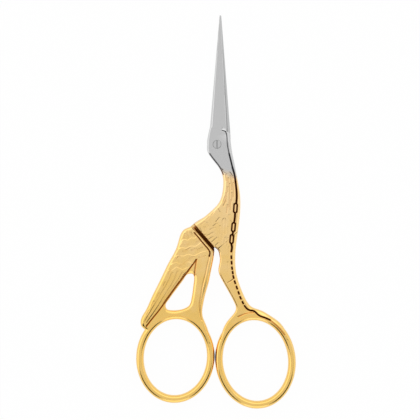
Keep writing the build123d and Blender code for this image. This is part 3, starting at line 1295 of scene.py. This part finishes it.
class BackHalf(Half):
    """The back forging: right blade, head, neck and breast, then wing, tail and left leg with its bow."""

    name = "back"
    full_wall = "wing"
    thread_hole = 0.66
    wing_edge = (1.35, 1.85, 0.34)
    leg_edge = (1.2, 1.85, 0.4, 0.4)
    window_edge = (0.95, 1.85, 0.36, 1.0)

    # The painted shade in the gap beside the front half, standing for the shadow in that recess: how dark,
    # and where it starts and how softly, from the wing's wall, from under the front half and from the
    # shoulder, with rows of places for it
    gap_shade = 0.93
    gap_wall, gap_under, gap_shoulder = (0.02, 0.24), (1.7, 0.5), (0.3, 1.3)
    gap_rows = (0.07, 0.2, 0.36, 0.8)

    def __init__(self, bird: Bird, engraving: Engraving) -> None:
        """Works out the plan and the edges.

        Args:
            bird: The outline's numbers.
            engraving: The marks of both faces.
        """
        super().__init__(bird, engraving, bird.left_bow, bird.back_blade)
        self.marks = engraving.back_marks + engraving.front_marks
        self.cuts = [longer(beside(*self.walls["wing"], -gap)) for gap in self.gap_rows]
        b, bow, blade, walls = bird, self.bow, self.blade, self.walls
        breast = [*b.at(b.breast_shares)[::-1], *b.at(b.cheek_shares)[::-1]]
        breast = spans(breast + [blade.outline_at(1, blade.spine_heel_height)], b.step)
        heel_end = blade.outline_at(-1, blade.heel_height)
        heel = straight(breast[-1][-1], heel_end, b.step)
        head = [heel_end, *b.at(b.head_left_shares), *b.at(b.neck_left_shares)]
        wing = [walls["wing"][0], *b.at(b.wing_shares), *bow.places(b.tail_foot_shares)]
        left = spans(head + wing, b.step)
        arc = bow.oval(0, b.tail_foot_shares[-1][0], b.left_foot_shares[0][0])
        leg = [*bow.places(b.left_foot_shares), *b.at(b.left_leg_shares)[::-1], walls["breast"][0]]
        leg = spans(leg, b.step)
        breast_wall = straight(*walls["breast"], b.step)
        window = joined(spans(from_pixels(b.window_pixels), b.step, closed=True))[:-1][::-1]
        self.close(joined([*breast, heel, *left, arc, *leg, breast_wall])[:-1], [window], self.thread_hole)
        edges = self.shared_edges(breast, left[:len(head) - 1]) + [
            Edge(Path(joined(left[len(head):])), *self.wing_edge), Edge(Path(joined(leg)), *self.leg_edge),
            Edge(Path(looped(window)), *self.window_edge),
        ]
        heel_run = heel[len(heel) * 3 // 5:]  # The part of the heel that lies beside the blade
        self.top_edges = [*edges, Edge(Path(walls["wing"]), *self.wall_edge)]
        self.bottom_edges = [
            *edges, Edge(Path(breast_wall), *self.wall_edge), Edge(Path(heel_run), *self.heel_edge),
        ]

    def stains_and_shade(self, places: np.ndarray) -> tuple:
        """How dark the plating is on the top, with painted shade in the gap beside the front half, and on the
        bottom.

        Args:
            places: Places in millimetres from the pivot.

        Returns:
            The top's and the bottom's shares, from 0 to 1.
        """
        engraved, contact_shade = self.engraving.stain(places, self.marks), self.contact_shade(places)
        start, end = self.walls["wing"]
        out = right_of((start, end), places)
        along = (places - start) @ (end - start) / np.linalg.norm(end - start)
        shadow = self.gap_shade * smooth((-out - self.gap_wall[0]) / self.gap_wall[1])
        shadow *= smooth((self.gap_under[0] + out) / self.gap_under[1])
        shadow *= smooth((along - self.gap_shoulder[0]) / self.gap_shoulder[1])
        return np.maximum(np.where(out > 0, engraved, shadow), contact_shade), np.maximum(engraved, contact_shade)

    def top(self, places: np.ndarray) -> np.ndarray:
        """The level of the front face: flat behind the front half, rounded on the wing, leg and bow."""
        level = MID_LEVEL + self.height(places, self.top_edges)
        return np.where(right_of(self.walls["wing"], places) > 0, level, MID_LEVEL - RIDE_GAP / 2)

    def bottom(self, places: np.ndarray) -> np.ndarray:
        """The level of the back face."""
        return MID_LEVEL - self.height(places, self.bottom_edges)


@dataclass(frozen=True)
class PivotScrew:
    """The slotted screw at the eye: flush head, plain journal, threaded end."""

    head_radius: float = 1.2
    journal_radius: float = 0.75
    thread_radius: float = 0.65
    head_level: float = 3.1
    top_level: float = 4.0
    slot_width: float = 0.36
    slot_depth: float = 0.4
    chamfer: float = 0.12
    step: float = 0.015
    rim_row: float = 0.1
    rim_stain: float = 0.6
    rim_slack: float = 1e-4
    rim_samples: int = 72
    slot_reach: float = 2.0

    def top(self, places: np.ndarray) -> np.ndarray:
        """The level of the head's face, with its slot and a broken rim.

        Args:
            places: Places in millimetres from the pivot.

        Returns:
            One level for each place.
        """
        away = np.hypot(*places.T)
        level = self.top_level - np.clip(away - (self.head_radius - self.chamfer), 0, self.chamfer)
        return np.where(np.abs(places[:, 0]) < self.slot_width / 2, self.top_level - self.slot_depth, level)

    def bottom(self, places: np.ndarray) -> np.ndarray:
        """The level of the underside: head, journal and threaded end.

        Args:
            places: Places in millimetres from the pivot.

        Returns:
            One level for each place.
        """
        away = np.hypot(*places.T)
        level = np.where(away < self.journal_radius + self.step / 2, HALF_THICKNESS, self.head_level)
        return np.where(away < self.thread_radius + self.step / 2, 0.0, level)

    def inside(self, places: np.ndarray) -> np.ndarray:
        """Which places the head covers."""
        return np.hypot(*places.T) < self.head_radius - self.rim_slack

    def build(self, pivot: np.ndarray) -> bpy.types.Object:
        """Makes the screw's mesh, with its rim and slot marked as cut.

        Args:
            pivot: The pivot's place in the part's frame, in millimetres.

        Returns:
            The new object.
        """
        radii = (self.head_radius - self.chamfer, self.journal_radius, self.thread_radius,
                 self.journal_radius + self.step, self.thread_radius + self.step)
        sides = (-self.slot_width / 2, self.slot_width / 2)
        slot = [np.array(((x, -self.slot_reach), (x, self.slot_reach))) for x in sides]
        rim = circle(self.head_radius, self.rim_samples)
        plate = Plate([rim], self.inside, self.top, self.bottom, (self.rim_row,),
                      steps=slot, cuts=[looped(circle(radius)) for radius in radii])
        skin = plate.skin()
        places, triangles = skin[:2]
        rim_stain = smooth((np.hypot(*places.T) - self.head_radius + self.chamfer) / self.chamfer)
        stains_and_shade = np.maximum(self.rim_stain * rim_stain, (np.abs(places[:, 0]) < self.slot_width / 2) * 1.0)
        every = np.ones(len(triangles), bool)
        return mesh_object("eye_screw", skin, every, pivot, {"cut": (stains_and_shade, stains_and_shade * 0)})


def empty_tree(block: bpy.types.ID) -> bpy.types.NodeTree:
    """The node tree of a material or a world, emptied.

    Args:
        block: The material or world.

    Returns:
        The node tree.
    """
    block.use_nodes = True
    block.node_tree.nodes.clear()
    return block.node_tree


def add_node(
    tree: bpy.types.NodeTree, kind: str, values: dict, out: int | str = 0, **settings: str | bool,
) -> bpy.types.NodeSocket:
    """Adds a shader node.

    Args:
        tree: The node tree.
        kind: The node's type, without the first part that all of them share.
        values: Numbers to set and sockets to link, by the input's name or number.
        out: The name or number of the output that is wanted.
        settings: Properties of the node.

    Returns:
        That output, or nothing where the node has none.
    """
    node = tree.nodes.new(f"ShaderNode{kind}")
    for key, value in settings.items():
        setattr(node, key, value)
    for key, value in values.items():
        if isinstance(value, bpy.types.NodeSocket):
            tree.links.new(value, node.inputs[key])
        else:
            node.inputs[key].default_value = value
    return node.outputs[out] if node.outputs else None


@dataclass(frozen=True)
class PlatedSteel:
    """Polished nickel plate above the line on the neck, gold plate below it, with a soft change between.

    The nickel gives the eye an even mid grey mirror, slightly softened by the polishing wheel. The gold gives
    a warm mirror, paler at the neck and richer at the bows. Both darken where the cut attribute says: partly
    the tarnish in the cuts where the polish can't reach, partly painted shade in the grooves, in the gap,
    along the wall
    and where the bows meet: the nickel to black, the gold to an orange brown and then to a dark one.
    """

    name: str
    plating_line: np.ndarray
    pivot: np.ndarray
    nickel: str = "#CCCCCC"
    nickel_in_cuts: str = "#26272B"
    gold: str = "#FCD99C"
    gold_rich: str = "#F6CC74"
    rich_from: float = 4.0
    richest: float = 45.0
    patch: float = 2.4
    patch_limits: tuple = (0.3, 0.7)
    patch_share: float = 0.2
    gold_beside_cuts: str = "#C06A1C"
    gold_in_cuts: str = "#2A1303"
    brown_limits: tuple = (0.04, 0.55)
    dark_limits: tuple = (0.3, 1.0)
    polish_roughness: float = 0.17
    polish_play: float = 0.04
    cut_roughness: float = 0.3
    fade: float = 3.2
    fade_wander: float = 1.6
    fade_cloud_scale: float = 420.0
    wheel_mark_spacing: float = 0.35
    wheel_mark_length: float = 9.0
    wheel_mark_height: float = 0.02
    wheel_mark_strength: float = 0.25

    def build(self) -> bpy.types.Material:
        """Makes the material.

        Returns:
            The material.
        """
        material = bpy.data.materials.new(self.name)
        tree = empty_tree(material)
        place = add_node(tree, "TexCoord", {}, "Object")
        # The cut attribute holds the tarnish in the engraving and painted shade in grooves, in the gap, along
        # the wall and where the bows meet
        cut = add_node(tree, "Attribute", {}, "Fac", attribute_name="cut")
        below = self.below_line(tree, place)
        half = self.fade / 2 * METRES
        golden = add_node(tree, "MapRange", {"Value": below, "From Min": -half, "From Max": half},
                          interpolation_type="SMOOTHSTEP")
        silver = add_node(tree, "Mix", {0: cut, 6: linear(self.nickel), 7: linear(self.nickel_in_cuts)}, 2,
                          data_type="RGBA")
        gilded = self.gilding(tree, place, below, cut)
        colour = add_node(tree, "Mix", {0: golden, 6: silver, 7: gilded}, 2, data_type="RGBA")
        stretch = (1 / self.wheel_mark_spacing / METRES, 1 / self.wheel_mark_length / METRES, 0.0)
        wheel = add_node(tree, "Mapping", {"Vector": place, "Scale": stretch})
        marks = add_node(tree, "TexNoise", {"Vector": wheel, "Scale": 1.0, "Detail": 3.0, "Roughness": 0.6})
        low, high = (self.polish_roughness + play for play in (-self.polish_play, self.polish_play))
        polish = add_node(tree, "MapRange", {"Value": marks, "To Min": low, "To Max": high})
        rough = add_node(tree, "Math", {0: cut, 1: self.cut_roughness, 2: polish}, operation="MULTIPLY_ADD")
        height = self.wheel_mark_height * METRES
        bump = add_node(tree, "Bump", {
            "Height": marks, "Strength": self.wheel_mark_strength, "Distance": height})
        shader = add_node(tree, "BsdfPrincipled", {
            "Base Color": colour, "Roughness": rough, "Normal": bump, "Metallic": 1.0})
        add_node(tree, "OutputMaterial", {"Surface": shader})
        return material

    def below_line(self, tree: bpy.types.NodeTree, place: bpy.types.NodeSocket) -> bpy.types.NodeSocket:
        """The distance below the plating line, which wanders a little.

        Args:
            tree: The node tree.
            place: The place in the part.

        Returns:
            The distance.
        """
        start, end = (self.plating_line + self.pivot) * METRES
        run = heading((start, end))
        down = (run[1], -run[0], 0.0)
        wander = self.fade_wander * METRES
        offset = -float(start[0] * down[0] + start[1] * down[1]) - wander / 2
        depth = add_node(tree, "VectorMath", {0: place, 1: down}, "Value", operation="DOT_PRODUCT")
        cloud = add_node(tree, "TexNoise", {"Vector": place, "Scale": self.fade_cloud_scale, "Detail": 2.0})
        shift = add_node(tree, "Math", {0: cloud, 1: wander, 2: offset}, operation="MULTIPLY_ADD")
        return add_node(tree, "Math", {0: depth, 1: shift}, operation="ADD")

    def gilding(self, tree: bpy.types.NodeTree, place: bpy.types.NodeSocket, below: bpy.types.NodeSocket,
                cut: bpy.types.NodeSocket) -> bpy.types.NodeSocket:
        """The gold's colour: paler at the neck, richer at the bows, in patches, and brown to dark with
        tarnish and painted shade.

        Args:
            tree: The node tree.
            place: The place in the part.
            below: The distance below the plating line.
            cut: How dark the place is, from tarnish and painted shade.

        Returns:
            The colour.
        """
        scale = 1 / self.patch / METRES
        patches = add_node(tree, "TexNoise", {"Vector": place, "Scale": scale, "Detail": 3.0})
        thicker = add_node(tree, "MapRange", {
            "Value": below, "From Min": self.rich_from * METRES, "From Max": self.richest * METRES})
        patchy = add_node(tree, "MapRange", {
            "Value": patches, "From Min": self.patch_limits[0], "From Max": self.patch_limits[1],
            "To Min": -self.patch_share, "To Max": self.patch_share})
        rich = add_node(tree, "Math", {0: patchy, 1: thicker}, operation="ADD", use_clamp=True)
        beside_cut, in_cut = (
            add_node(tree, "MapRange", {"Value": cut, "From Min": low, "From Max": high})
            for low, high in (self.brown_limits, self.dark_limits)
        )
        colour = linear(self.gold)
        for share, next_colour in ((rich, self.gold_rich), (beside_cut, self.gold_beside_cuts),
                                   (in_cut, self.gold_in_cuts)):
            colour = add_node(tree, "Mix", {0: share, 6: colour, 7: linear(next_colour)}, 2, data_type="RGBA")
        return colour


@dataclass(frozen=True)
class ScrewSteel:
    """Turned steel, filed flush with the head.

    It gives the eye the nickel's grey with fine turning rings, a little darker in the slot.
    """

    name: str = "turned_screw_steel"
    pivot: tuple = (0.0, 0.0)
    steel: str = "#C9C9C9"
    steel_in_slot: str = "#A3A3A3"
    roughness: float = 0.26
    ring_spacing: float = 0.22
    ring_height: float = 0.01
    ring_strength: float = 0.2
    ring_distortion: float = 0.5
    wave_factor: float = 20.0

    def build(self) -> bpy.types.Material:
        """Makes the material.

        Returns:
            The material.
        """
        material = bpy.data.materials.new(self.name)
        tree = empty_tree(material)
        place = add_node(tree, "TexCoord", {}, "Object")
        middle = (self.pivot[0] * METRES, self.pivot[1] * METRES, 0.0)
        centred = add_node(tree, "VectorMath", {0: place, 1: middle}, operation="SUBTRACT")
        rings = add_node(tree, "TexWave", {
            "Vector": centred, "Scale": 1 / self.ring_spacing / METRES / self.wave_factor,
            "Distortion": self.ring_distortion,
        }, "Fac", wave_type="RINGS", rings_direction="Z")
        bump = add_node(tree, "Bump", {
            "Height": rings, "Strength": self.ring_strength, "Distance": self.ring_height * METRES})
        cut = add_node(tree, "Attribute", {}, "Fac", attribute_name="cut")
        colour = add_node(tree, "Mix", {0: cut, 6: linear(self.steel), 7: linear(self.steel_in_slot)}, 2,
                          data_type="RGBA")
        shader = add_node(tree, "BsdfPrincipled", {
            "Base Color": colour, "Normal": bump, "Metallic": 1.0, "Roughness": self.roughness})
        add_node(tree, "OutputMaterial", {"Surface": shader})
        return material


@dataclass(frozen=True)
class Studio:
    """A white table under a soft tent of light, and the camera over it."""

    pivot: np.ndarray
    lens: float = 120.0
    sensor: float = 36.0
    focus_level: float = 3.0
    table_half: float = 600.0
    table_paint: str = "#F8F8F8"
    table_glow: float = 0.97

    # The tent's brightness by the height of a direction, from 0 level to 1 straight up: all around, in the
    # east, and towards the corners in the south, where a dark gap gives the bows and cuts their lines
    tent_around: tuple = ((0.0, 0.9), (0.15, 1.0), (0.40, 1.4), (0.65, 1.5), (0.84, 1.08), (0.95, 0.85))
    tent_east: tuple = ((0.0, 0.9), (0.15, 1.0), (0.40, 1.3), (0.50, 0.8), (0.66, 0.72), (0.84, 0.85))
    tent_corners: tuple = (
        (0.0, 0.9), (0.15, 1.0), (0.30, 1.25), (0.40, 0.03), (0.89, 0.03), (0.94, 0.83), (1.0, 0.85),
    )

    # Where these parts begin and end: shares east, shares north, and the product of both for a corner
    east_limits: tuple = (0.7, 0.9)
    south_limits: tuple = (-0.4, 0.2)
    corner_limits: tuple = (0.26, 0.45)

    # A little over 1, so that straight up nothing is divided by nought
    unit: float = 1.0002

    def camera(self) -> None:
        """Hangs the camera straight over the photograph's middle, with the photograph's width in view."""
        data = bpy.data.cameras.new("camera")
        data.lens, data.sensor_width = self.lens, self.sensor
        data.clip_start, data.clip_end = 0.01, 10.0
        place = self.pivot + from_pixels(PHOTO_MIDDLE_PIXEL)
        height = PHOTO_WIDTH_PIXELS * PIXEL * self.lens / self.sensor + self.focus_level
        made = bpy.data.objects.new("camera", data)
        made.location = Vector((*place, height)) * METRES
        bpy.context.scene.collection.objects.link(made)
        bpy.context.scene.camera = made

    def table(self) -> None:
        """A plain pale table top, white to the camera and in reflections, that keeps the shadow."""
        half = self.table_half * METRES
        mesh = bpy.data.meshes.new("table")
        corners = [(-half, -half, 0), (half, -half, 0), (half, half, 0), (-half, half, 0)]
        mesh.from_pydata(corners, [], [(0, 1, 2, 3)])
        table = bpy.data.objects.new("table", mesh)
        bpy.context.scene.collection.objects.link(table)
        material = bpy.data.materials.new("white_table")
        tree = empty_tree(material)
        rays = add_node(tree, "LightPath", {}).node.outputs
        camera, glossy = rays["Is Camera Ray"], rays["Is Glossy Ray"]
        seen = add_node(tree, "Math", {0: camera, 1: glossy}, operation="MAXIMUM")
        share = add_node(tree, "Math", {0: seen, 1: self.table_glow}, operation="MULTIPLY")
        paint = add_node(tree, "BsdfDiffuse", {"Color": linear(self.table_paint)})
        glow = add_node(tree, "Emission", {"Color": (1, 1, 1, 1), "Strength": 1.0})
        shader = add_node(tree, "MixShader", {0: share, 1: paint, 2: glow})
        add_node(tree, "OutputMaterial", {"Surface": shader})
        mesh.materials.append(material)

    def light(self) -> None:
        """The tent: mid grey overhead, brighter lower down, and white where the camera sees it."""
        world = bpy.data.worlds.new("tent")
        bpy.context.scene.world = world
        tree = empty_tree(world)
        way = add_node(tree, "TexCoord", {}, "Generated")
        x, y, z = add_node(tree, "SeparateXYZ", {0: way}).node.outputs[:]
        down = add_node(tree, "Math", {0: z, 1: -1.0}, operation="MULTIPLY")
        flat = add_node(tree, "Math", {0: z, 1: down, 2: self.unit}, operation="MULTIPLY_ADD")
        reach = add_node(tree, "Math", {0: flat}, operation="SQRT")
        skew = add_node(tree, "Math", {0: x, 1: y}, operation="MULTIPLY")
        skew = add_node(tree, "Math", {0: skew, 1: flat}, operation="DIVIDE")
        skew = add_node(tree, "Math", {0: skew}, operation="ABSOLUTE")
        north = add_node(tree, "Math", {0: y, 1: reach}, operation="DIVIDE")
        east = add_node(tree, "Math", {0: x, 1: reach}, operation="DIVIDE")
        corner, east, north = (
            add_node(tree, "MapRange", {"Value": value, "From Min": low, "From Max": high},
                     interpolation_type="SMOOTHSTEP")
            for value, (low, high) in (
                (skew, self.corner_limits), (east, self.east_limits), (north, self.south_limits))
        )
        south = add_node(tree, "Math", {0: 1.0, 1: north}, operation="SUBTRACT")
        corner = add_node(tree, "Math", {0: corner, 1: south}, operation="MULTIPLY")
        ramps = []
        for stops in (self.tent_around, self.tent_east, self.tent_corners):
            ramps.append(add_node(tree, "ValToRGB", {0: z}))
            grey_ramp(ramps[-1].node.color_ramp, stops)
        sides = add_node(tree, "Mix", {0: east, 6: ramps[0], 7: ramps[1]}, 2, data_type="RGBA")
        lit = add_node(tree, "Mix", {0: corner, 6: sides, 7: ramps[2]}, 2, data_type="RGBA")
        seen = add_node(tree, "LightPath", {}, "Is Camera Ray")
        shown = add_node(tree, "Mix", {0: seen, 6: lit, 7: (1, 1, 1, 1)}, 2, data_type="RGBA")
        glow = add_node(tree, "Background", {"Color": shown, "Strength": 1.0})
        add_node(tree, "OutputWorld", {"Surface": glow})


def grey_ramp(ramp: bpy.types.ColorRamp, stops: tuple) -> None:
    """Sets a colour ramp to greys, given as pairs of place and level.

    Args:
        ramp: The colour ramp.
        stops: Pairs of place and level.
    """
    while len(ramp.elements) < len(stops):
        ramp.elements.new(0.5)
    for element, (place, level) in zip(ramp.elements, stops):
        element.position = place
        element.color = (level, level, level, 1)


def build_half(half: Half, body: str, pivot: np.ndarray, finish: dict) -> None:
    """Builds one forging as its blade and its handle, and puts them on their body.

    Args:
        half: The forging.
        body: Its body's name.
        pivot: The pivot's place in the part's frame, in millimetres.
        finish: The materials of its blade and handle.
    """
    skin = half.plate().skin()
    places, triangles = skin[:2]
    below = right_of(half.bird.plating_line(), places[triangles].mean(1)) > 0
    marks = {"cut": half.stains_and_shade(places)}
    for part, chosen, slot in (("blade", ~below, "polished_steel"), ("handle", below, "gold_plate")):
        node = f"{half.name}_{part}"
        piece = mesh_object(f"{node}_skin", skin, chosen, pivot, marks)
        piece.data.materials.append(finish[part])
        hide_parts(node)
        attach(piece, body)


def main() -> None:
    """Builds the scissors, the table, the light and the camera."""
    logging.basicConfig(level=logging.INFO, format="%(message)s")
    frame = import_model()
    bpy.context.scene.view_settings.view_transform = "Standard"
    pivot = np.array(frame["joints"][0]["pos_m"][:2]) / METRES
    bird, engraving = Bird(), Engraving()
    finish = {
        "blade": PlatedSteel("polished_nickel_plate", bird.plating_line(), pivot).build(),
        "handle": PlatedSteel("polished_gold_plate", bird.plating_line(), pivot).build(),
    }
    build_half(BackHalf(bird, engraving), "back_half", pivot, finish)
    build_half(FrontHalf(bird, engraving), "front_half", pivot, finish)
    screw = PivotScrew().build(pivot)
    screw.data.materials.append(ScrewSteel(pivot=tuple(pivot)).build())
    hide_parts("pivot_screw")
    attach(screw, "back_half")
    studio = Studio(pivot)
    studio.camera()
    studio.table()
    studio.light()


if __name__ == "__main__":
    main()
